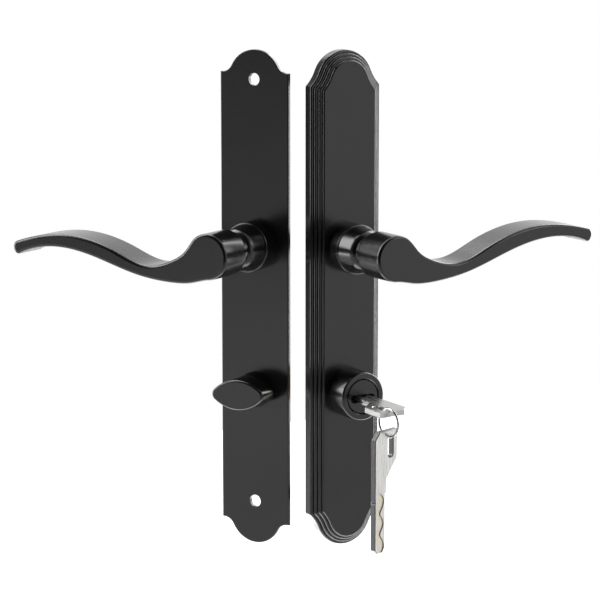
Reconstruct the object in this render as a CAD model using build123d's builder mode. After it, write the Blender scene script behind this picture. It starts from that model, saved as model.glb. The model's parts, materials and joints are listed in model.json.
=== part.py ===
from build123d import *
import math
import os

# Storm door handleset, in millimetres: the exterior trim on its door face, and the interior
# trim standing beside it with its own door face turned away.
# The origin is on the exterior lever axis at the door face. The exterior trim faces -Y, +Z is up.
# Heights are measured outwards from a trim's door face.

# Where the two trims stand
trim_spread = 41.5
trim_turn = 60.0

# Both plates
plate_length = 250.0
plate_drop = 27.5
axis_spacing = 73.0
screw_inset_top = 14.7
screw_inset_low = 21.8

# Interior plate
flat_width = 39.0
flat_thickness = 2.0
flat_arch = 14.8
flat_cove = 6.0
flat_cove_angle = 27.2
flat_edge_round = 0.5
screw_hole = 6.2

# Exterior plate
cast_width = 39.6
cast_arch = 15.8
cast_cove = 20.0
cast_cove_angle = 21.3
corner_round = 1.2
rim_height = 5.3
moulding_rise = 1.4
moulding_run = 1.6
moulding_steps = 3
moulding_round = 0.85
hollow_wall = 4.0
panel_wall = 3.5
post_width = 9.0
post_reach = 12.0
post_thread = 4.2
post_thread_depth = 15.0

# Lever, with points along its arm as a share of its length and a height
lever_length = 115.2
lever_reach = 26.0
arm_depth = 19.5
head_radius = 11.4
head_top_angle = 62.0
head_low_angle = -95.0
arm_top = ((0.114, 1.6), (0.172, -2.8), (0.299, -6.6), (0.466, -0.75), (0.739, 5.3), (0.99, -0.3))
arm_low = ((0.076, -13.5), (0.172, -14.2), (0.367, -11.5), (0.566, -5.1), (0.781, -1.5), (0.977, -7.0))
arm_tip = (1.0, -4.2)
tip_top_slope = -19.0
tip_low_slope = -29.0
tip_round = 2.2
arm_round = 1.5
arm_back_round = 1.2
exterior_tilt = 3.7
interior_tilt = 0.0
neck_radius = 8.3
neck_sink = 2.0
dome_radius = 11.8
dome_gap = 0.15
shoulder_radius = 10.3
shoulder_height = 16.5
dome_top = 19.5

# Lever bearing, the same in both trims
bush_radius = 12.4
bush_height = 8.7
bush_round = 0.7
spigot_radius = 9.0
spigot_length = 6.0
shank_radius = 7.0
shank_tail = 9.6
shank_flat = 6.0
flat_tail = 3.6
running_fit = 0.05
close_fit = 0.02
stack_gap = 0.2

# Stop washer, pegs, clip and return spring
washer_radius = 10.8
washer_thickness = 1.0
lug_width = 4.5
lug_reach = 15.2
lever_swing = 45.0
peg_circle = 14.2
peg_radius = 1.2
stop_gap = 0.15
clip_thickness = 0.8
clip_width = 2.2
clip_groove = 0.6
clip_opening = 5.0
spring_start = 10.4
spring_growth = 0.75
spring_half_turns = 3
spring_band = 0.8
spring_height = 2.0
spring_hook = 0.9

# Spindle, its pin and the set screw
spindle_width = 8.0
spindle_reach = 24.0
spindle_seat = 30.0
spindle_chamfer = 0.8
pin_height = 13.0
pin_radius = 1.5
pin_far = 5.4
pin_sink = 0.5
grub_radius = 2.5
grub_length = 5.4
grub_key = 2.5
grub_key_depth = 2.4

# Thumb turn
turn_width = 32.2
turn_thickness = 15.2
turn_tilt = 3.0
turn_lift = 6.3
turn_depth = 11.3
turn_tip_round = 3.4
turn_round = 1.0
turn_back_round = 0.8
turn_bush_radius = 9.0
turn_bush_waist = 8.4
turn_spigot = 7.0
turn_spigot_length = 1.6
turn_shank = 5.0
turn_tail = 6.0
turn_washer_radius = 8.0

# Lock cylinder
collar_radius = 12.0
collar_bulge = 12.35
collar_front = 11.9
collar_height = 13.5
collar_round = 0.9
barrel_radius = 9.4
barrel_tail = 11.2
plug_head = 8.7
plug_head_gap = 0.2
plug_head_depth = 4.2
plug_sink = 0.3
plug_radius = 6.5
plug_tail = 15.0
nut_flats = 26.0
nut_thickness = 4.0
mouth_width = 14.0
mouth_height = 4.0
mouth_depth = 3.2
key_play = 0.2
key_drop = 1.0
wafer_count = 5
wafer_pitch = 3.5
wafer_top = 16.0
wafer_width = 10.6
wafer_height = 6.8
wafer_thickness = 1.2
wafer_play = 0.1
tail_width = 6.4
tail_thickness = 1.6
tail_seat = 3.0
tail_reach = 24.0
tail_pin_radius = 0.8

# Keys and ring
blade_length = 29.0
blade_width = 8.0
key_thickness = 3.0
blade_point = 2.0
key_neck_length = 7.0
key_neck_width = 9.0
bow_slant = 9.7
bow_straight = 14.2
bow_width = 17.5
bow_chamfer = 3.7
key_bevel = 0.35
notch_place = 25.3
notch_depth = 0.6
slot_width = 4.0
slot_length = 11.0
slot_wall = 2.7
slot_side = 10.2
track_width = 2.6
track_depth = 0.4
track_swing = 1.3
track_waves = 3
blade_insert = 21.9
ring_width = 15.0
ring_wire = 1.15
ring_turn = 9.0
ring_shift = 0.3
ring_hang = 4.45
spare_turn = 21.0

os.makedirs("parts", exist_ok=True)


# A plane on a door face: X to the right, Y up and Z outwards, with its origin on the lever axis
exterior_face = Plane(origin=(0, 0, 0), x_dir=(1, 0, 0), z_dir=(0, -1, 0))
half_turn = math.radians(trim_turn / 2)
full_turn = math.radians(trim_turn)
interior_face = Plane(
    origin=(-trim_spread * math.cos(half_turn), trim_spread * math.sin(half_turn), 0),
    x_dir=(math.cos(full_turn), -math.sin(full_turn), 0),
    z_dir=(-math.sin(full_turn), -math.cos(full_turn), 0),
)

# Front and seat heights of each plate at the lever
cast_front = rim_height + moulding_steps * moulding_rise
cast_seat = cast_front - panel_wall
flat_front = flat_thickness
flat_seat = 0.0
lock_drop = -axis_spacing


def moved_face(face, up, out=0.0):
    return Plane(origin=face.from_local_coords((0, up, out)), x_dir=face.x_dir, z_dir=face.z_dir)


# A plane that looks down along the trim, with X to the right and Y outwards from the door face
def section_of(face, up=0.0, out=0.0):
    return Plane(origin=face.from_local_coords((0, up, out)), x_dir=face.x_dir, z_dir=-face.y_dir)


def axis_of(face, up=0.0):
    return Axis(face.from_local_coords((0, up, 0)), face.z_dir)


def write(piece, name):
    piece.part.label = name
    export_step(piece.part, f"parts/{name}.step")


# The outline of a plate: straight sides, a hollow cove at each corner and an arch at each end
def plate_outline(width, arch, cove, cove_angle, inset=0.0):
    arch_height = plate_length / 2 - arch
    cove_x = (arch + cove) * math.cos(math.radians(cove_angle))
    cove_y = arch_height + (arch + cove) * math.sin(math.radians(cove_angle))
    side = width / 2 - inset
    cove_radius = cove + inset
    foot_x = min(side, cove_x)
    foot_y = cove_y - math.sqrt(cove_radius**2 - (cove_x - foot_x) ** 2)
    foot_angle = math.degrees(math.atan2(foot_y - cove_y, foot_x - cove_x)) % 360
    with BuildSketch() as outline:
        with BuildLine():
            Line((side, 0), (side, foot_y))
            if foot_x < side:
                Line((side, foot_y), (foot_x, foot_y))
            CenterArc((cove_x, cove_y), cove_radius, foot_angle, 180 + cove_angle - foot_angle)
            CenterArc((0, arch_height), arch - inset, cove_angle, 90 - cove_angle)
            mirror(about=Plane.YZ)
            mirror(about=Plane.XZ)
        make_face()
    return outline.sketch


def cast_outline(inset=0.0):
    return plate_outline(cast_width, cast_arch, cast_cove, cast_cove_angle, inset)


# The two angles of the stop pegs, for a lever that points along +X (hand 1) or -X (hand -1)
def peg_places(hand):
    spread = math.degrees((lug_width / 2 + peg_radius + stop_gap) / peg_circle)
    for angle in (-90 + spread, -90 - lever_swing - spread):
        x = hand * peg_circle * math.cos(math.radians(angle))
        yield (x, peg_circle * math.sin(math.radians(angle)))


peg_length = spigot_length + stack_gap + washer_thickness
screw_places = ((0, plate_length / 2 - screw_inset_top), (0, screw_inset_low - plate_length / 2))

with BuildPart() as exterior_plate:
    plate_plane = moved_face(exterior_face, -plate_drop)
    outwards = axis_of(exterior_face)
    with BuildSketch(plate_plane):
        add(cast_outline())
    extrude(amount=rim_height)
    corners = exterior_plate.edges().filter_by(outwards).group_by(Axis.X)
    fillet(corners[0] + corners[-1], corner_round)
    fillet(exterior_plate.faces().sort_by(outwards)[-1].edges(), moulding_round)
    for step in range(1, moulding_steps + 1):
        with BuildSketch(plate_plane.offset(rim_height + (step - 1) * moulding_rise)):
            add(cast_outline(step * moulding_run))
        extrude(amount=moulding_rise)
        fillet(exterior_plate.faces().sort_by(outwards)[-1].edges(), moulding_round)
    with BuildSketch(plate_plane):
        add(cast_outline(hollow_wall))
    extrude(amount=cast_seat, mode=Mode.SUBTRACT)
    with BuildSketch(plate_plane.offset(cast_seat)):
        with Locations(*screw_places):
            Circle(post_width / 2)
    extrude(amount=-cast_seat - post_reach)
    with BuildSketch(plate_plane.offset(-post_reach)):
        with Locations(*screw_places):
            Circle(post_thread / 2)
    extrude(amount=post_thread_depth, mode=Mode.SUBTRACT)
    with BuildSketch(exterior_face.offset(cast_seat)):
        with Locations(*peg_places(1)):
            Circle(peg_radius)
    extrude(amount=-peg_length)
    with BuildSketch(exterior_face):
        Circle(spigot_radius + close_fit)
        with Locations((0, lock_drop)):
            Circle(barrel_radius + close_fit)
    extrude(amount=cast_front, mode=Mode.SUBTRACT)
write(exterior_plate, "exterior_plate")

with BuildPart() as interior_plate:
    plate_plane = moved_face(interior_face, -plate_drop)
    outwards = axis_of(interior_face)
    with BuildSketch(plate_plane):
        add(plate_outline(flat_width, flat_arch, flat_cove, flat_cove_angle))
    extrude(amount=flat_front)
    fillet(interior_plate.faces().sort_by(outwards)[-1].edges(), flat_edge_round)
    with BuildSketch(plate_plane):
        with Locations(*screw_places):
            Circle(screw_hole / 2)
        with Locations((0, plate_drop)):
            Circle(spigot_radius + close_fit)
        with Locations((0, plate_drop + lock_drop)):
            Circle(turn_spigot + close_fit)
    extrude(amount=flat_front, mode=Mode.SUBTRACT)
    with BuildSketch(interior_face):
        with Locations(*peg_places(-1)):
            Circle(peg_radius)
    extrude(amount=-peg_length)
write(interior_plate, "interior_plate")


def lever_bush(face, front, seat):
    with BuildPart() as bush:
        with BuildSketch(section_of(face)) as profile:
            with BuildLine():
                Polyline(
                    (shank_radius + running_fit, seat - spigot_length),
                    (spigot_radius, seat - spigot_length),
                    (spigot_radius, front),
                    (bush_radius, front),
                    (bush_radius, front + bush_height),
                    (shank_radius + running_fit, front + bush_height),
                    close=True,
                )
            make_face()
            fillet(profile.vertices().group_by(Axis.Y)[-1].sort_by(Axis.X)[-1], bush_round)
        revolve(axis=axis_of(face))
    return bush


# Where the shank's washer and clip lie, as depths behind the seat
washer_depth = spigot_length + stack_gap
clip_depth = washer_depth + washer_thickness + stack_gap
socket_width = spindle_width + 2 * running_fit
dome_base = bush_height + dome_gap
dome_taper = (dome_radius - shoulder_radius) / (shoulder_height - dome_base)
pin_wall = dome_radius - dome_taper * (pin_height - dome_base)
clip_play = close_fit * 2


# A lever points along +X of its face with hand 1, and along -X with hand -1
def lever(face, hand, tilt, front, seat):
    def on_arm(share, height):
        return (hand * share * lever_length, height)

    def heading(angle, length=1.0):
        radians = math.radians(angle)
        return (hand * length * math.cos(radians), length * math.sin(radians))

    head_top = heading(head_top_angle, head_radius)
    head_low = heading(head_low_angle, head_radius)
    top_ends = (heading(head_top_angle - 90), heading(tip_top_slope))
    low_ends = (heading(head_low_angle + 90), heading(tip_low_slope))
    top_points = [on_arm(*point) for point in arm_top]
    low_points = [on_arm(*point) for point in arm_low]
    shank_end = seat - shank_tail
    clip_top = seat - clip_depth + clip_play
    clip_low = seat - clip_depth - clip_thickness - clip_play
    arm_plane = Plane(
        origin=face.from_local_coords((0, 0, front + lever_reach)),
        x_dir=face.x_dir.rotate(axis_of(face), hand * tilt),
        z_dir=face.z_dir,
    )
    with BuildPart() as piece:
        with BuildSketch(arm_plane):
            with BuildLine():
                Spline(head_top, *top_points, tangents=top_ends, tangent_scalars=(1, 1))
                ThreePointArc(top_points[-1], on_arm(*arm_tip), low_points[-1])
                Spline(head_low, *low_points, tangents=low_ends, tangent_scalars=(1, 1))
                ThreePointArc(head_low, (-hand * head_radius, 0), head_top)
            make_face()
        extrude(amount=arm_depth)
        outwards = axis_of(face)
        tip_edges = piece.edges().filter_by(outwards).group_by(Axis(face.origin, face.x_dir * hand))
        fillet(tip_edges[-1] + tip_edges[-2], tip_round)
        fillet(piece.faces().sort_by(outwards)[-1].edges(), arm_round)
        fillet(piece.faces().sort_by(outwards)[0].edges(), arm_back_round)
        with BuildSketch(section_of(face)):
            with BuildLine():
                Polyline(
                    (dome_radius, front + dome_base),
                    (shank_radius, front + dome_base),
                    (shank_radius, clip_top),
                    (shank_radius - clip_groove, clip_top),
                    (shank_radius - clip_groove, clip_low),
                    (shank_radius, clip_low),
                    (shank_radius, shank_end),
                    (0, shank_end),
                    (0, front + lever_reach + neck_sink),
                    (neck_radius, front + lever_reach + neck_sink),
                    (neck_radius, front + dome_top),
                )
                Line((dome_radius, front + dome_base), (shoulder_radius, front + shoulder_height))
                TangentArc(
                    (shoulder_radius, front + shoulder_height),
                    (neck_radius, front + dome_top),
                    tangent=(-dome_taper, 1),
                )
            make_face()
        revolve(axis=axis_of(face))
        with BuildSketch(face.offset(shank_end)):
            with Locations((shank_radius + shank_flat, 0), (-shank_radius - shank_flat, 0)):
                Rectangle(2 * shank_radius, 2 * shank_radius)
        extrude(amount=flat_tail, mode=Mode.SUBTRACT)
        with BuildSketch(face.offset(shank_end)):
            Rectangle(socket_width, socket_width)
        extrude(amount=front + spindle_seat - shank_end, mode=Mode.SUBTRACT)
        if hand > 0:
            with BuildSketch(section_of(face, pin_far, front + pin_height)):
                Circle(pin_radius + close_fit)
            extrude(amount=pin_far + dome_radius, mode=Mode.SUBTRACT)
        else:
            with BuildSketch(section_of(face, 0, front + pin_height)):
                Circle(grub_radius + close_fit)
            extrude(amount=dome_radius, mode=Mode.SUBTRACT)
    return piece


def stop_washer(face, seat):
    with BuildSketch() as keyed_hole:
        Circle(shank_radius + running_fit)
        Rectangle(2 * (shank_flat + running_fit), 4 * shank_radius, mode=Mode.INTERSECT)
    with BuildPart() as washer:
        with BuildSketch(face.offset(seat - washer_depth)):
            Circle(washer_radius)
            with Locations((0, -lug_reach / 2)):
                Rectangle(lug_width, lug_reach)
            add(keyed_hole.sketch, mode=Mode.SUBTRACT)
        extrude(amount=-washer_thickness)
    return washer


# An open ring that snaps into a groove
def snap_clip(face, up, groove_radius, top):
    with BuildPart() as clip:
        with BuildSketch(moved_face(face, up, top)):
            Circle(groove_radius + clip_width)
            Circle(groove_radius + clip_play, mode=Mode.SUBTRACT)
            with Locations((0, groove_radius)):
                Rectangle(clip_opening, 2 * groove_radius, mode=Mode.SUBTRACT)
        extrude(amount=-clip_thickness)
    return clip


# A flat spiral of half circles around the bush, with a hook at each end
def return_spring(face, hand, seat):
    with BuildPart() as spring:
        with BuildSketch(face.offset(seat - stack_gap)):
            with BuildLine():
                start = (hand * spring_start, 0)
                Line((hand * (spring_start - spring_hook), 0), start)
                for half in range(spring_half_turns):
                    radius = spring_start + half * spring_growth
                    centre = (half % 2) * hand * spring_growth
                    first = 0 if hand > 0 else 180
                    CenterArc((centre, 0), radius, first + half * 180 * hand, 180 * hand)
                end = -hand * (spring_start + (spring_half_turns - 1) * spring_growth)
                Line((end, 0), (end - hand * spring_hook, 0))
            trace(line_width=spring_band)
        extrude(amount=-spring_height)
    return spring


for place, face, hand, tilt, front, seat in (
    ("exterior", exterior_face, 1, exterior_tilt, cast_front, cast_seat),
    ("interior", interior_face, -1, interior_tilt, flat_front, flat_seat),
):
    write(lever_bush(face, front, seat), f"{place}_bush")
    write(lever(face, hand, tilt, front, seat), f"{place}_lever")
    write(stop_washer(face, seat), f"{place}_washer")
    write(snap_clip(face, 0, shank_radius - clip_groove, seat - clip_depth), f"{place}_clip")
    write(return_spring(face, hand, seat), f"{place}_spring")

with BuildPart() as spindle:
    with BuildSketch(exterior_face.offset(-spindle_reach)):
        Rectangle(spindle_width, spindle_width)
    extrude(amount=spindle_reach + cast_front + spindle_seat - stack_gap)
    chamfer(spindle.faces().sort_by(Axis.Y)[-1].edges(), spindle_chamfer)
    with BuildSketch(section_of(exterior_face, spindle_width, cast_front + pin_height)):
        Circle(pin_radius + close_fit)
    extrude(amount=2 * spindle_width, mode=Mode.SUBTRACT)
write(spindle, "spindle")

with BuildPart() as spindle_pin:
    with BuildSketch(section_of(exterior_face, pin_far - close_fit, cast_front + pin_height)):
        Circle(pin_radius)
    extrude(amount=pin_far + pin_wall - pin_sink)
write(spindle_pin, "spindle_pin")

with BuildPart() as set_screw:
    grub_top = spindle_width / 2 + stack_gap + grub_length
    with BuildSketch(section_of(interior_face, -grub_top, flat_front + pin_height)):
        Circle(grub_radius)
    extrude(amount=-grub_length)
    with BuildSketch(section_of(interior_face, -grub_top, flat_front + pin_height)):
        RegularPolygon(grub_key / 2, 6, major_radius=False)
    extrude(amount=-grub_key_depth, mode=Mode.SUBTRACT)
write(set_screw, "set_screw")

# Thumb turn
with BuildPart() as turn_bush:
    with BuildSketch(section_of(interior_face, lock_drop)):
        with BuildLine():
            waist_top = flat_front + turn_lift - stack_gap
            Polyline(
                (turn_bush_radius, flat_front),
                (turn_spigot, flat_front),
                (turn_spigot, -turn_spigot_length),
                (turn_shank + running_fit, -turn_spigot_length),
                (turn_shank + running_fit, waist_top),
                (turn_bush_waist, waist_top),
                (turn_bush_radius, flat_front),
            )
        make_face()
    revolve(axis=axis_of(interior_face, lock_drop))
write(turn_bush, "turn_bush")

turn_washer_top = -turn_spigot_length - stack_gap
turn_clip_top = turn_washer_top - washer_thickness - stack_gap

with BuildPart() as thumb_turn:
    knob_back = flat_front + turn_lift
    with BuildSketch(moved_face(interior_face, lock_drop, knob_back)):
        with BuildLine(Plane.XY.rotated((0, 0, turn_tilt))):
            ThreePointArc((-turn_width / 2, 0), (0, turn_thickness / 2), (turn_width / 2, 0))
            ThreePointArc((-turn_width / 2, 0), (0, -turn_thickness / 2), (turn_width / 2, 0))
        make_face()
    extrude(amount=turn_depth)
    outwards = axis_of(interior_face)
    fillet(thumb_turn.edges().filter_by(outwards), turn_tip_round)
    fillet(thumb_turn.faces().sort_by(outwards)[-1].edges(), turn_round)
    fillet(thumb_turn.faces().sort_by(outwards)[0].edges(), turn_back_round)
    with BuildSketch(section_of(interior_face, lock_drop)):
        with BuildLine():
            groove = turn_shank - clip_groove
            Polyline(
                (0, knob_back + turn_back_round),
                (turn_shank, knob_back + turn_back_round),
                (turn_shank, turn_clip_top + clip_play),
                (groove, turn_clip_top + clip_play),
                (groove, turn_clip_top - clip_thickness - clip_play),
                (turn_shank, turn_clip_top - clip_thickness - clip_play),
                (turn_shank, -turn_tail),
                (0, -turn_tail),
                close=True,
            )
        make_face()
    revolve(axis=axis_of(interior_face, lock_drop))
    with BuildSketch(moved_face(interior_face, lock_drop, -turn_tail)):
        Rectangle(tail_width + 2 * key_play, tail_thickness + 2 * key_play)
    extrude(amount=turn_tail + knob_back, mode=Mode.SUBTRACT)
write(thumb_turn, "thumb_turn")

with BuildPart() as turn_washer:
    with BuildSketch(moved_face(interior_face, lock_drop, turn_washer_top)):
        Circle(turn_washer_radius)
        Circle(turn_shank + running_fit, mode=Mode.SUBTRACT)
    extrude(amount=-washer_thickness)
write(turn_washer, "turn_washer")

write(snap_clip(interior_face, lock_drop, turn_shank - clip_groove, turn_clip_top), "turn_clip")

# Lock cylinder
lock_axis = axis_of(exterior_face, lock_drop)
collar_top = cast_front + collar_height
plug_face = collar_top - plug_sink
plug_step = plug_face - plug_head_depth
barrel_top = plug_step - running_fit

with BuildPart() as cylinder_collar:
    with BuildSketch(section_of(exterior_face, lock_drop)) as profile:
        with BuildLine():
            ThreePointArc(
                (collar_radius, cast_front),
                (collar_bulge, cast_front + collar_height / 2),
                (collar_front, collar_top),
            )
            Polyline(
                (collar_front, collar_top),
                (plug_head + plug_head_gap, collar_top),
                (plug_head + plug_head_gap, barrel_top),
                (barrel_radius + close_fit, barrel_top),
                (barrel_radius + close_fit, cast_front),
                (collar_radius, cast_front),
            )
        make_face()
        fillet(profile.vertices().group_by(Axis.Y)[-1].sort_by(Axis.X)[-1], collar_round)
    revolve(axis=lock_axis)
write(cylinder_collar, "cylinder_collar")

with BuildPart() as cylinder_body:
    with BuildSketch(moved_face(exterior_face, lock_drop, -barrel_tail)):
        Circle(barrel_radius)
        Circle(plug_radius + running_fit, mode=Mode.SUBTRACT)
    extrude(amount=barrel_tail + barrel_top)
write(cylinder_body, "cylinder_body")

with BuildPart() as cylinder_nut:
    with BuildSketch(moved_face(exterior_face, lock_drop, cast_seat)):
        RegularPolygon(nut_flats / 2, 6, major_radius=False)
        Circle(barrel_radius + close_fit, mode=Mode.SUBTRACT)
    extrude(amount=-nut_thickness)
write(cylinder_nut, "cylinder_nut")

plug_clip_top = -barrel_tail - stack_gap
tail_top = -plug_tail + tail_seat
tail_pin_height = -plug_tail + tail_seat / 2
key_level = lock_drop - key_drop
blade_tip = plug_face - blade_insert
wafer_heights = [wafer_top - wafer_pitch * index for index in range(wafer_count)]
keyway_width = blade_width + 2 * key_play
keyway_height = key_thickness + 2 * key_play

with BuildPart() as cylinder_plug:
    with BuildSketch(section_of(exterior_face, lock_drop)):
        with BuildLine():
            groove = plug_radius - clip_groove
            Polyline(
                (0, plug_face),
                (plug_head, plug_face),
                (plug_head, plug_step),
                (plug_radius, plug_step),
                (plug_radius, plug_clip_top + clip_play),
                (groove, plug_clip_top + clip_play),
                (groove, plug_clip_top - clip_thickness - clip_play),
                (plug_radius, plug_clip_top - clip_thickness - clip_play),
                (plug_radius, -plug_tail),
                (0, -plug_tail),
                close=True,
            )
        make_face()
    revolve(axis=lock_axis)
    with BuildSketch(moved_face(exterior_face, key_level, plug_face)):
        SlotOverall(mouth_width, mouth_height)
    extrude(amount=-mouth_depth, mode=Mode.SUBTRACT)
    with BuildSketch(moved_face(exterior_face, key_level, plug_face)):
        Rectangle(keyway_width, keyway_height)
    extrude(amount=blade_tip - key_play - plug_face, mode=Mode.SUBTRACT)
    for height in wafer_heights:
        with BuildSketch(moved_face(exterior_face, lock_drop, height)):
            Rectangle(2 * plug_head, wafer_height + 2 * wafer_play)
        extrude(amount=wafer_thickness / 2 + wafer_play, both=True, mode=Mode.SUBTRACT)
    with BuildSketch(moved_face(exterior_face, lock_drop, -plug_tail)):
        Rectangle(tail_width + 2 * running_fit, tail_thickness + 2 * running_fit)
    extrude(amount=tail_seat, mode=Mode.SUBTRACT)
    with BuildSketch(section_of(exterior_face, lock_drop + plug_radius, tail_pin_height)):
        Circle(tail_pin_radius + close_fit)
    extrude(amount=2 * plug_radius, mode=Mode.SUBTRACT)
write(cylinder_plug, "cylinder_plug")

with BuildPart() as wafers:
    for height in wafer_heights:
        with BuildSketch(moved_face(exterior_face, lock_drop, height)):
            Rectangle(wafer_width, wafer_height)
            with Locations((0, -key_drop)):
                Rectangle(keyway_width, keyway_height, mode=Mode.SUBTRACT)
        extrude(amount=wafer_thickness / 2, both=True)
write(wafers, "wafers")

write(snap_clip(exterior_face, lock_drop, plug_radius - clip_groove, plug_clip_top), "plug_clip")

with BuildPart() as tailpiece:
    with BuildSketch(moved_face(exterior_face, lock_drop, tail_top - running_fit)):
        Rectangle(tail_width, tail_thickness)
    extrude(amount=-tail_reach - tail_top + running_fit)
    with BuildSketch(section_of(exterior_face, lock_drop + plug_radius, tail_pin_height)):
        Circle(tail_pin_radius + close_fit)
    extrude(amount=2 * plug_radius, mode=Mode.SUBTRACT)
write(tailpiece, "tailpiece")

with BuildPart() as tailpiece_pin:
    with BuildSketch(section_of(exterior_face, lock_drop + plug_radius - pin_sink, tail_pin_height)):
        Circle(tail_pin_radius)
    extrude(amount=2 * (plug_radius - pin_sink))
write(tailpiece_pin, "tailpiece_pin")

# Keys
key_length = blade_length + key_neck_length + bow_slant + bow_straight
wall_along = key_length - slot_wall / 2
slot_middle = slot_side + slot_width / 2


# A key on a plane with X across from its straight side, Y from its tip to its bow end
def key(plane):
    neck_end = blade_length + key_neck_length
    with BuildPart() as piece:
        with BuildSketch(plane):
            with BuildLine():
                Polyline(
                    (0, key_length - bow_chamfer),
                    (0, blade_point),
                    (blade_point, 0),
                    (blade_width - blade_point, 0),
                    (blade_width, blade_point),
                    (blade_width, blade_length),
                    (key_neck_width, blade_length),
                    (key_neck_width, neck_end),
                    (bow_width, neck_end + bow_slant),
                    (bow_width, key_length),
                    (bow_chamfer, key_length),
                    close=True,
                )
            make_face()
            with Locations((slot_middle, key_length - slot_wall - slot_length / 2)):
                SlotOverall(slot_length, slot_width, rotation=90, mode=Mode.SUBTRACT)
        extrude(amount=key_thickness / 2, both=True)
        flats = piece.faces().sort_by(Axis(plane.origin, plane.z_dir))
        chamfer(flats[0].edges() + flats[-1].edges(), key_bevel)
        with BuildSketch(plane):
            with Locations((0, notch_place)):
                RegularPolygon(notch_depth, 4)
        extrude(amount=key_thickness, both=True, mode=Mode.SUBTRACT)
        for side in (1, -1):
            with BuildSketch(plane.offset(side * key_thickness / 2)):
                with BuildLine():
                    step = blade_length / (2 * track_waves)
                    points = []
                    for turn in range(2 * track_waves + 1):
                        swing = track_swing if turn % 2 else -track_swing
                        points.append((blade_width / 2 + swing, turn * step))
                    Spline(*points)
                trace(line_width=track_width)
            extrude(amount=-side * track_depth, mode=Mode.SUBTRACT)
    return piece


lock_key_plane = Plane(
    origin=exterior_face.from_local_coords((blade_width / 2, key_level, blade_tip)),
    x_dir=-exterior_face.x_dir,
    z_dir=exterior_face.y_dir,
)
write(key(lock_key_plane), "lock_key")


# The way across a piece that hangs on the key, turned about Z from +X
def across_at(turn):
    return Vector(math.cos(math.radians(turn)), math.sin(math.radians(turn)), 0)


ring_middle = slot_middle - ring_shift
ring_centre = lock_key_plane.from_local_coords((ring_middle, wall_along, -ring_hang))

with BuildPart() as key_ring:
    with BuildSketch(Plane(origin=ring_centre, x_dir=across_at(ring_turn - 90), z_dir=(0, 0, 1))):
        with Locations(((ring_width - ring_wire) / 2, 0)):
            Circle(ring_wire / 2)
    revolve(axis=Axis(ring_centre, across_at(ring_turn)))
write(key_ring, "key_ring")

spare_across = across_at(spare_turn)
spare_origin = ring_centre - Vector(0, 0, ring_hang + wall_along) - spare_across * slot_middle
spare_plane = Plane(origin=spare_origin, x_dir=spare_across, z_dir=across_at(spare_turn - 90))
write(key(spare_plane), "spare_key")
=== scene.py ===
import bpy
import json
import math
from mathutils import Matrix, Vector


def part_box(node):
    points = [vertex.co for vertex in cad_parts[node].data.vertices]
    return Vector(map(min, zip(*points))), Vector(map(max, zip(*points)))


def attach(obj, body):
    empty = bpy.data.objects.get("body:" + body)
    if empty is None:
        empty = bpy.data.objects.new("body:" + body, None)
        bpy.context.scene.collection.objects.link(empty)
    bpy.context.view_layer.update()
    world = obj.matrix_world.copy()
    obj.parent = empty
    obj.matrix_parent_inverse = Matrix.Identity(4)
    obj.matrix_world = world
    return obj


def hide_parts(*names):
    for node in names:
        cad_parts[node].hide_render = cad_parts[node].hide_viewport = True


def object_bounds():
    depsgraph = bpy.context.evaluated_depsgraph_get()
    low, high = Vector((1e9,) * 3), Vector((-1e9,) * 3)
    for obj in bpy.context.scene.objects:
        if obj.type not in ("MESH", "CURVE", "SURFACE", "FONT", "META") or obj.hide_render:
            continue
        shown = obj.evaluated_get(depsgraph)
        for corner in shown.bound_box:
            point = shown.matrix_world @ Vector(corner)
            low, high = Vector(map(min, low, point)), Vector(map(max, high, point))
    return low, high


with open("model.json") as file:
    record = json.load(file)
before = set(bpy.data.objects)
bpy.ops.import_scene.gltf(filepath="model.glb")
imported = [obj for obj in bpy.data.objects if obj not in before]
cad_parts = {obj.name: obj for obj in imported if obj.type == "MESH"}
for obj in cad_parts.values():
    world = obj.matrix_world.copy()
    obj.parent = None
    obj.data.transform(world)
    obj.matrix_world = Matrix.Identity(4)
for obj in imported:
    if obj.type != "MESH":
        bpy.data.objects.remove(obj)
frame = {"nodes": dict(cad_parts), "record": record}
nodes = frame["nodes"]
cadLow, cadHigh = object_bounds()
print("frame loaded:", len(nodes), "nodes")


# Camera, at the photograph's view
cameraSetup = {
    "place": (-0.6244, -1.0418, 0.1783),
    "heading": 30.0,        # degrees from +Y towards +X
    "pitchDown": 9.63,
    "lens": 147.6,
    "sensor": 36.0,
    "clipEnd": 20.0,
}


def makeCamera(setup):
    heading = math.radians(setup["heading"])
    pitch = math.radians(setup["pitchDown"])
    forward = Vector((
        math.sin(heading) * math.cos(pitch),
        math.cos(heading) * math.cos(pitch),
        -math.sin(pitch),
    ))
    bpy.ops.object.camera_add(location=setup["place"])
    camera = bpy.context.object
    camera.name = "photoCamera"
    camera.rotation_euler = forward.to_track_quat("-Z", "Y").to_euler()
    camera.data.lens = setup["lens"]
    camera.data.sensor_width = setup["sensor"]
    camera.data.clip_end = setup["clipEnd"]
    bpy.context.scene.camera = camera


makeCamera(cameraSetup)
bpy.context.scene.view_settings.view_transform = "Standard"
print("camera placed")


# Materials, all on Object coordinates
noiseSpan = (0.3, 0.7)      # most of a noise texture's values
toneDetail = 3
grainDetail = 2
mixColours = slice(6, 8)    # the two colour inputs of a Mix node
mixResult = 2               # its colour output


def newMaterial(name):
    material = bpy.data.materials.new(name)
    material.use_nodes = True
    tree = material.node_tree
    return material, tree, tree.nodes["Principled BSDF"]


def addCoords(tree):
    return tree.nodes.new("ShaderNodeTexCoord")


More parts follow.
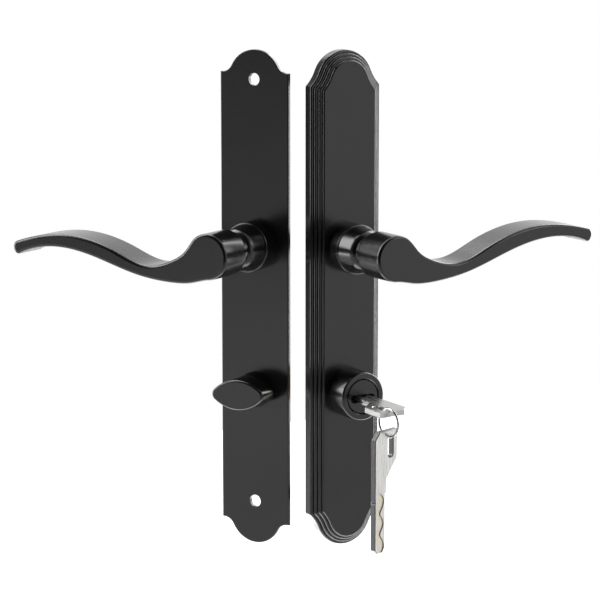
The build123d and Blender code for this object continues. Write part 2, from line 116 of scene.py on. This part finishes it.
def addNoise(tree, coords, scale, detail, stretch):
    mapping = tree.nodes.new("ShaderNodeMapping")
    mapping.inputs["Scale"].default_value = stretch
    tree.links.new(coords.outputs["Object"], mapping.inputs["Vector"])
    noise = tree.nodes.new("ShaderNodeTexNoise")
    noise.inputs["Scale"].default_value = scale
    noise.inputs["Detail"].default_value = detail
    tree.links.new(mapping.outputs["Vector"], noise.inputs["Vector"])
    return noise.outputs["Fac"]


def addRange(tree, source, fromSpan, toSpan):
    spread = tree.nodes.new("ShaderNodeMapRange")
    for name, span in (("From", fromSpan), ("To", toSpan)):
        spread.inputs[name + " Min"].default_value = span[0]
        spread.inputs[name + " Max"].default_value = span[1]
    tree.links.new(source, spread.inputs["Value"])
    return spread


def addTones(tree, source, dark, light):
    ramp = tree.nodes.new("ShaderNodeValToRGB")
    for element, position, tone in zip(ramp.color_ramp.elements, noiseSpan, (dark, light)):
        element.position = position
        element.color = (*tone, 1)
    tree.links.new(source, ramp.inputs["Fac"])
    return ramp.outputs["Color"]


def addMath(tree, operation, first, second):
    sums = tree.nodes.new("ShaderNodeMath")
    sums.operation = operation
    for socket, value in zip(sums.inputs, (first, second)):
        if isinstance(value, float):
            socket.default_value = value
        else:
            tree.links.new(value, socket)
    return sums.outputs["Value"]


def addMix(tree, share, first, second):
    mix = tree.nodes.new("ShaderNodeMix")
    mix.data_type = "RGBA"
    tree.links.new(share, mix.inputs[0])
    for socket, value in zip(mix.inputs[mixColours], (first, second)):
        if isinstance(value, tuple):
            socket.default_value = (*value, 1)
        else:
            tree.links.new(value, socket)
    return mix.outputs[mixResult]


def addAlong(tree, source, way):
    along = tree.nodes.new("ShaderNodeVectorMath")
    along.operation = "DOT_PRODUCT"
    along.inputs[1].default_value = way
    tree.links.new(source, along.inputs[0])
    return along.outputs["Value"]


# Roughness and bump from the same noise
def addSurface(tree, source, shader, look):
    rough = addRange(tree, source, noiseSpan, look["roughness"])
    tree.links.new(rough.outputs["Result"], shader.inputs["Roughness"])
    bump = tree.nodes.new("ShaderNodeBump")
    bump.inputs["Strength"].default_value = look["bump"]
    bump.inputs["Distance"].default_value = look["bumpDepth"]
    tree.links.new(source, bump.inputs["Height"])
    tree.links.new(bump.outputs["Normal"], shader.inputs["Normal"])


def finishMaterial(look):
    material, tree, shader = newMaterial(look["name"])
    coords = addCoords(tree)
    shader.inputs["Metallic"].default_value = look["metallic"]
    tone = addNoise(tree, coords, look["toneScale"], toneDetail, look["stretch"])
    colour = addTones(tree, tone, look["dark"], look["light"])
    tree.links.new(colour, shader.inputs["Base Color"])
    grain = addNoise(tree, coords, look["grainScale"], grainDetail, look["stretch"])
    addSurface(tree, grain, shader, look)
    return material


satinBlackLook = {
    "name": "satinBlack",
    "metallic": 0.0,
    "dark": (0.0028, 0.0028, 0.003),
    "light": (0.004, 0.004, 0.0042),
    "toneScale": 40.0,
    "grainScale": 1800.0,
    "stretch": (1, 1, 1),
    "roughness": (0.2, 0.25),
    "bump": 0.05,
    "bumpDepth": 0.00005,
}
platedSteelLook = {
    "name": "platedSteel",
    "metallic": 1.0,
    "dark": (0.36, 0.36, 0.37),
    "light": (0.46, 0.46, 0.47),
    "toneScale": 120.0,
    "grainScale": 900.0,
    "stretch": (1, 1, 1),
    "roughness": (0.26, 0.4),
    "bump": 0.05,
    "bumpDepth": 0.00005,
}
springSteelLook = {
    "name": "springSteel",
    "metallic": 1.0,
    "dark": (0.2, 0.2, 0.21),
    "light": (0.28, 0.28, 0.3),
    "toneScale": 200.0,
    "grainScale": 1200.0,
    "stretch": (1, 1, 1),
    "roughness": (0.3, 0.42),
    "bump": 0.05,
    "bumpDepth": 0.00005,
}
lockBrassLook = {
    "name": "lockBrass",
    "metallic": 1.0,
    "dark": (0.42, 0.31, 0.13),
    "light": (0.55, 0.42, 0.2),
    "toneScale": 150.0,
    "grainScale": 700.0,
    "stretch": (1, 8, 1),
    "roughness": (0.25, 0.38),
    "bump": 0.05,
    "bumpDepth": 0.00005,
}
keyNickelLook = {
    "name": "keyNickel",
    "metallic": 1.0,
    "dark": (0.3, 0.3, 0.3),
    "light": (0.38, 0.38, 0.375),
    "toneScale": 160.0,
    "grainScale": 1500.0,
    "stretch": (1, 1, 1),
    "roughness": (0.2, 0.3),
    "bump": 0.04,
    "bumpDepth": 0.00004,
}
slotMaterials = {
    "satin_black": finishMaterial(satinBlackLook),
    "plated_steel": finishMaterial(platedSteelLook),
    "spring_steel": finishMaterial(springSteelLook),
    "lock_brass": finishMaterial(lockBrassLook),
    "key_nickel": finishMaterial(keyNickelLook),
}
for subpart in frame["record"]["subparts"]:
    node = nodes[subpart["node"]]
    node.data.materials.clear()
    node.data.materials.append(slotMaterials[subpart["material_slot"]])
print("materials set on the CAD nodes")


# Keys: brushed nickel faces, milled sides and brass at the floor of the track. Per key, the
# colour of the sides and the tone of the faces are painted shade: the same blank is darker on
# one key than on the other
keyBlankLook = {
    "metallic": 1.0,
    "faceDark": (0.48, 0.475, 0.465),
    "faceLight": (0.6, 0.595, 0.58),
    "track": (0.6, 0.53, 0.38),
    "brushScale": 2600.0,
    "roughness": (0.22, 0.34),
    "bump": 0.08,
    "bumpDepth": 0.00003,
    "facing": 0.8,          # a face's normal lies this far along the way through the blank
    "flatDepth": 0.0013,    # metres from the middle of the blank to below its faces
}
keyFrames = (
    {
        "node": "lock_key",
        "through": (0, 0, 1),
        "brush": (1, 0.03, 1),
        # colour of the sides: milled finish with painted shade, lighter on the lock key
        "side": (0.4, 0.4, 0.395),
        # tone: painted shade, the lock key's faces at 0.6 of the spare key's
        "tone": 0.6,
    },
    {
        "node": "spare_key",
        "through": (0.358, -0.934, 0),
        "brush": (1, 1, 0.03),
        # colour of the sides: milled finish with painted shade, darkest on the spare key
        "side": (0.13, 0.13, 0.13),
        "tone": 1.0,
    },
)


def middleOf(name):
    low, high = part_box(name)
    return (Vector(low) + Vector(high)) / 2


def finishKey(look, keyFrame):
    material, tree, shader = newMaterial(keyFrame["node"] + "Blank")
    coords = addCoords(tree)
    shader.inputs["Metallic"].default_value = look["metallic"]
    centred = tree.nodes.new("ShaderNodeVectorMath")
    centred.operation = "SUBTRACT"
    centred.inputs[1].default_value = middleOf(keyFrame["node"])
    tree.links.new(coords.outputs["Object"], centred.inputs[0])
    depth = addAlong(tree, centred.outputs["Vector"], keyFrame["through"])
    depth = addMath(tree, "ABSOLUTE", depth, 0.0)
    facing = addAlong(tree, coords.outputs["Normal"], keyFrame["through"])
    facing = addMath(tree, "ABSOLUTE", facing, 0.0)
    flat = addMath(tree, "GREATER_THAN", facing, look["facing"])
    sunk = addMath(tree, "LESS_THAN", depth, look["flatDepth"])
    brush = addNoise(tree, coords, look["brushScale"], toneDetail, keyFrame["brush"])
    # The key's tone scales its face colours: painted shade on the lock key
    dark = Vector(look["faceDark"]) * keyFrame["tone"]
    light = Vector(look["faceLight"]) * keyFrame["tone"]
    face = addTones(tree, brush, dark, light)
    # The sides take the key's colour of the sides: milled finish with painted shade
    blank = addMix(tree, flat, keyFrame["side"], face)
    colour = addMix(tree, addMath(tree, "MULTIPLY", flat, sunk), blank, look["track"])
    tree.links.new(colour, shader.inputs["Base Color"])
    addSurface(tree, brush, shader, look)
    return material


for keyFrame in keyFrames:
    keyNode = nodes[keyFrame["node"]]
    keyNode.data.materials.clear()
    keyNode.data.materials.append(finishKey(keyBlankLook, keyFrame))
print("keys finished")


# Steps that the added pieces share
mergeGap = 0.000001     # metres
quarterTurn = math.pi / 2


# Profiles are drawn flat and stood up in the XZ plane, to be turned about Z
def standProfile():
    bpy.ops.mesh.select_all(action="SELECT")
    bpy.ops.transform.rotate(value=quarterTurn, orient_axis="X", center_override=(0, 0, 0))


def turnProfile(piece, steps):
    turning = piece.modifiers.new("turning", "SCREW")
    turning.steps = turning.render_steps = steps
    turning.use_merge_vertices, turning.merge_threshold = True, mergeGap
    bpy.ops.object.modifier_apply(modifier="turning")


def closeMesh():
    bpy.ops.object.mode_set(mode="EDIT")
    bpy.ops.mesh.select_all(action="SELECT")
    bpy.ops.mesh.remove_doubles(threshold=mergeGap)
    bpy.ops.mesh.normals_make_consistent(inside=False)
    bpy.ops.object.mode_set(mode="OBJECT")


# Lays the piece's Z along a way, and puts its place into its mesh
def setPiece(piece, way, place, smoothAngle):
    piece.rotation_euler = Vector(way).to_track_quat("Z", "Y").to_euler()
    piece.location = place
    bpy.ops.object.transform_apply(location=True, rotation=True, scale=True)
    bpy.ops.object.shade_smooth_by_angle(angle=math.radians(smoothAngle))


# Split ring: wire with the groove between its two turns, in place of the plain ring
splitRingSetup = {
    "node": "key_ring",
    "axis": (0.98769, 0.15643, 0),
    "outer": 0.0075,
    "wire": 0.00115,
    "groove": 0.00016,
    "points": 24,           # round the wire
    "steps": 144,           # round the ring
    "smoothAngle": 40,
}


def makeSplitRing(setup):
    wire = setup["wire"] / 2
    bpy.ops.object.select_all(action="DESELECT")
    bpy.ops.mesh.primitive_circle_add(vertices=setup["points"], radius=wire)
    ring = bpy.context.object
    ring.name = "splitRing"
    bpy.ops.object.mode_set(mode="EDIT")
    bpy.ops.mesh.select_mode(type="VERT")
    bpy.ops.mesh.select_all(action="DESELECT")
    bpy.ops.object.mode_set(mode="OBJECT")
    for point in ring.data.vertices:
        point.select = abs(point.co.y) < wire / setup["points"]     # outermost and innermost
    bpy.ops.object.mode_set(mode="EDIT")
    bpy.ops.transform.resize(value=(1 - setup["groove"] / wire, 1, 1))
    standProfile()
    bpy.ops.transform.translate(value=(setup["outer"] - wire, 0, 0))
    bpy.ops.object.mode_set(mode="OBJECT")
    turnProfile(ring, setup["steps"])
    closeMesh()
    setPiece(ring, setup["axis"], middleOf(setup["node"]), setup["smoothAngle"])
    ring.data.materials.append(slotMaterials["key_nickel"])
    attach(ring, "ring")
    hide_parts(setup["node"])


makeSplitRing(splitRingSetup)
print("split ring made")


# Lock: chamfered rims on the plug and on the collar round it make the groove between them
chamferSetups = (
    {
        "node": "cylinder_plug",
        "name": "chamferedPlug",
        "body": "plug",
        "rim": 0.0087,
        "chamfer": 0.0004,
    },
    {
        "node": "cylinder_collar",
        "name": "chamferedCollar",
        "body": "trims",
        "rim": 0.0089,
        "chamfer": 0.0004,
    },
)
rimPlay = 0.00002       # metres, how far a point of the rim may lie off its circle
flatAngle = 0.5         # degrees, faces closer than this are one flat
rimSmoothAngle = 30


def makeChamfered(setup):
    piece = bpy.data.objects.new(setup["name"], nodes[setup["node"]].data.copy())
    bpy.context.collection.objects.link(piece)
    bpy.ops.object.select_all(action="DESELECT")
    piece.select_set(True)
    bpy.context.view_layer.objects.active = piece
    bpy.ops.mesh.customdata_custom_splitnormals_clear()
    bpy.ops.object.mode_set(mode="EDIT")
    bpy.ops.mesh.select_all(action="SELECT")
    bpy.ops.mesh.remove_doubles(threshold=mergeGap)
    bpy.ops.mesh.dissolve_limited(angle_limit=math.radians(flatAngle))
    bpy.ops.mesh.select_all(action="DESELECT")
    bpy.ops.mesh.select_mode(type="EDGE")
    bpy.ops.object.mode_set(mode="OBJECT")
    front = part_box(setup["node"])[0][1]
    middle = middleOf(setup["node"])
    points = piece.data.vertices

    def onRim(index):
        place = points[index].co
        away = math.hypot(place.x - middle.x, place.z - middle.z)
        return abs(place.y - front) < rimPlay and abs(away - setup["rim"]) < rimPlay

    for edge in piece.data.edges:
        edge.select = all(onRim(index) for index in edge.vertices)
    bpy.ops.object.mode_set(mode="EDIT")
    bpy.ops.mesh.bevel(
        offset=setup["chamfer"], segments=1, affect="EDGES", clamp_overlap=False
    )
    bpy.ops.mesh.select_all(action="SELECT")
    bpy.ops.mesh.quads_convert_to_tris()
    bpy.ops.mesh.normals_make_consistent(inside=False)
    bpy.ops.object.mode_set(mode="OBJECT")
    bpy.ops.object.shade_smooth_by_angle(angle=math.radians(rimSmoothAngle))
    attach(piece, setup["body"])
    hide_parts(setup["node"])
    return piece


chamferedPieces = {setup["node"]: makeChamfered(setup) for setup in chamferSetups}


# The plug is brass behind its black head
plugLook = {"headDepth": 0.0042, "brass": (0.5, 0.38, 0.17)}


def finishPlug(look, piece):
    material = piece.data.materials[0].copy()
    material.name = "plugBlackBrass"
    tree = material.node_tree
    shader = tree.nodes["Principled BSDF"]
    coords = next(node for node in tree.nodes if node.type == "TEX_COORD")
    black = shader.inputs["Base Color"].links[0].from_socket
    split = tree.nodes.new("ShaderNodeSeparateXYZ")
    tree.links.new(coords.outputs["Object"], split.inputs["Vector"])
    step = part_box("cylinder_plug")[0][1] + look["headDepth"]
    behind = addMath(tree, "GREATER_THAN", split.outputs["Y"], step)
    tree.links.new(addMix(tree, behind, black, look["brass"]), shader.inputs["Base Color"])
    tree.links.new(behind, shader.inputs["Metallic"])
    piece.data.materials[0] = material


finishPlug(plugLook, chamferedPieces["cylinder_plug"])
print("lock dressed")


# Barrel: a tube with a thread cut on its tail, in place of the plain barrel
barrelSetup = {
    "node": "cylinder_body",
    "bore": 0.00655,
    "crest": 0.0094,
    "root": 0.0091,
    "pitch": 0.00125,
    "ridge": 0.9,           # width of the thread at its root, as a share of the pitch
    "thread": 0.0138,       # length of the thread, from the tail
    "runOut": 0.0005,
    "steps": 96,
    "smoothAngle": 35,
}


def addTube(setup, length):
    bore, crest = setup["bore"], setup["crest"]
    bpy.ops.object.select_all(action="DESELECT")
    bpy.ops.mesh.primitive_plane_add(size=1)
    tube = bpy.context.object
    bpy.ops.object.mode_set(mode="EDIT")
    standProfile()
    bpy.ops.transform.resize(value=(crest - bore, 1, length))
    bpy.ops.transform.translate(value=((bore + crest) / 2, 0, length / 2))
    bpy.ops.mesh.delete(type="ONLY_FACE")
    bpy.ops.object.mode_set(mode="OBJECT")
    turnProfile(tube, setup["steps"])
    # The tail is turned down to the root of the thread
    bpy.ops.object.mode_set(mode="EDIT")
    bpy.ops.mesh.select_mode(type="VERT")
    for height in (setup["thread"], setup["thread"] - setup["runOut"]):
        bpy.ops.mesh.select_all(action="SELECT")
        bpy.ops.mesh.bisect(plane_co=(0, 0, height), plane_no=(0, 0, 1))
    bpy.ops.mesh.select_all(action="DESELECT")
    bpy.ops.object.mode_set(mode="OBJECT")
    tailEnd = setup["thread"] - setup["runOut"] / 2
    for point in tube.data.vertices:
        away = math.hypot(point.co.x, point.co.y)
        point.select = away > (bore + crest) / 2 and point.co.z < tailEnd
    bpy.ops.object.mode_set(mode="EDIT")
    share = setup["root"] / crest
    bpy.ops.transform.resize(value=(share, share, 1))
    bpy.ops.object.mode_set(mode="OBJECT")
    return tube


# A diamond of the thread's depth and width, wound up along the tail
def addThread(setup, turns):
    depth = setup["crest"] - setup["root"]
    bpy.ops.object.select_all(action="DESELECT")
    bpy.ops.mesh.primitive_circle_add(vertices=4, radius=0.5)
    thread = bpy.context.object
    bpy.ops.object.mode_set(mode="EDIT")
    standProfile()
    bpy.ops.transform.resize(value=(2 * depth, 1, setup["ridge"] * setup["pitch"]))
    bpy.ops.transform.translate(value=(setup["root"], 0, setup["pitch"] / 2))
    bpy.ops.object.mode_set(mode="OBJECT")
    winding = thread.modifiers.new("winding", "SCREW")
    winding.angle = 2 * math.pi * turns
    winding.screw_offset = setup["pitch"] * turns
    winding.steps = winding.render_steps = setup["steps"] * turns
    bpy.ops.object.modifier_apply(modifier="winding")
    bpy.ops.object.mode_set(mode="EDIT")
    bpy.ops.mesh.select_all(action="DESELECT")
    bpy.ops.mesh.select_non_manifold()
    bpy.ops.mesh.edge_face_add()
    bpy.ops.object.mode_set(mode="OBJECT")
    return thread


def makeBarrel(setup):
    low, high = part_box(setup["node"])
    thread = addThread(setup, int(setup["thread"] / setup["pitch"]) - 1)
    body = addTube(setup, high[1] - low[1])
    thread.select_set(True)
    bpy.ops.object.join()
    body.name = "threadedBarrel"
    closeMesh()
    middle = middleOf(setup["node"])
    setPiece(body, (0, -1, 0), (middle.x, high[1], middle.z), setup["smoothAngle"])
    body.data.materials.append(slotMaterials["lock_brass"])
    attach(body, "trims")
    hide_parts(setup["node"])


makeBarrel(barrelSetup)
print("barrel threaded")


# Floor, backdrop and light
floorSetup = {
    "size": 1.3,
    "below": 0.1,
    "colour": (0.45, 0.45, 0.45, 1),
    "roughness": 0.9,
    "lift": 0.8,            # glow that the camera sees
    "shine": 0.15,          # glow that reflections see
}
# A white room with dim patches above the front, around the camera, at the back left and at the
# left, and a brighter patch low on the left. An edge runs from outside to inside, as cosines.
worldSetup = {
    "brightness": 1.15,
    "patches": (
        {"way": (-0.65, -0.45, 0.61), "edge": (0.43, 0.74), "share": 0.03},
        {"way": (-0.574, -0.819, 0.0), "edge": (0.62, 0.88), "share": 0.05},
        {"way": (-0.72, 0.62, -0.3), "edge": (0.8, 0.95), "share": 0.3},
        {"way": (-0.505, 0.808, 0.303), "edge": (0.8, 0.92), "share": 0.12},
        {"way": (-0.978, 0.208, -0.018), "edge": (0.968, 0.986), "share": 0.3},
        {"way": (-0.958, -0.084, -0.276), "edge": (0.978, 0.992), "share": 1.65},
    ),
}
lampSetups = (
    {
        "name": "rightLight",
        "place": (1.41, 0.51, 0.3),
        "aim": (0, 0, 0),
        "size": (1.2, 2.3),
        "watts": 48.0,
    },
    {
        "name": "leftLight",
        "place": (-1.14, 0.85, 0.3),
        "aim": (0, 0, 0),
        "size": (0.8, 2.1),
        "watts": 40.0,
    },
    {
        "name": "topLight",
        "place": (-0.13, 0.86, 1.34),
        "aim": (0, 0, 0),
        "size": (1.2, 1.1),
        "watts": 20.0,
    },
    {
        "name": "frontLight",
        "place": (0.79, -1.13, 0.76),
        "aim": (0, 0, 0),
        "size": (0.5, 0.4),
        "watts": 2.5,
    },
    {
        "name": "lowLight",
        "place": (0.05, 0.06, -0.248),
        "aim": (0.05, 0.06, 0),
        "size": (0.4, 0.3),
        "watts": 1.5,
    },
)


def makeFloor(setup):
    level = cadLow.z - setup["below"]
    bpy.ops.object.select_all(action="DESELECT")
    bpy.ops.mesh.primitive_plane_add(size=setup["size"], location=(0, 0, level))
    floor = bpy.context.object
    floor.name = "floor"
    material, tree, shader = newMaterial("paleFloor")
    shader.inputs["Base Color"].default_value = setup["colour"]
    shader.inputs["Roughness"].default_value = setup["roughness"]
    shader.inputs["Emission Color"].default_value = (1, 1, 1, 1)
    path = tree.nodes.new("ShaderNodeLightPath")
    lift = addMath(tree, "MULTIPLY", path.outputs["Is Camera Ray"], setup["lift"])
    shine = addMath(tree, "MULTIPLY", path.outputs["Is Glossy Ray"], setup["shine"])
    tree.links.new(addMath(tree, "ADD", lift, shine), shader.inputs["Emission Strength"])
    floor.data.materials.append(material)


# The camera sees white all round
def makeWorld(setup):
    world = bpy.data.worlds.new("studio")
    bpy.context.scene.world = world
    world.use_nodes = True
    tree = world.node_tree
    background = tree.nodes["Background"]
    background.inputs["Color"].default_value = (1, 1, 1, 1)
    coords = addCoords(tree)
    room = setup["brightness"]
    for patch in setup["patches"]:
        towards = addAlong(tree, coords.outputs["Generated"], patch["way"])
        share = addRange(tree, towards, patch["edge"], (1.0, patch["share"]))
        share.interpolation_type = "SMOOTHSTEP"
        room = addMath(tree, "MULTIPLY", room, share.outputs["Result"])
    path = tree.nodes.new("ShaderNodeLightPath")
    strength = tree.nodes.new("ShaderNodeMix")
    strength.data_type = "FLOAT"
    strength.inputs["B"].default_value = 1.0
    tree.links.new(path.outputs["Is Camera Ray"], strength.inputs["Factor"])
    tree.links.new(room, strength.inputs["A"])
    tree.links.new(strength.outputs["Result"], background.inputs["Strength"])


def makeLamp(setup):
    bpy.ops.object.light_add(type="AREA", location=setup["place"])
    lamp = bpy.context.object
    lamp.name = setup["name"]
    lamp.data.shape = "RECTANGLE"
    lamp.data.size, lamp.data.size_y = setup["size"]
    lamp.data.energy = setup["watts"]
    lamp.visible_camera = False
    aim = Vector(setup["aim"]) - Vector(setup["place"])
    lamp.rotation_euler = aim.to_track_quat("-Z", "Y").to_euler()


makeFloor(floorSetup)
makeWorld(worldSetup)
for lampSetup in lampSetups:
    makeLamp(lampSetup)
print("floor, room and lamps placed")

bpy.context.view_layer.update()
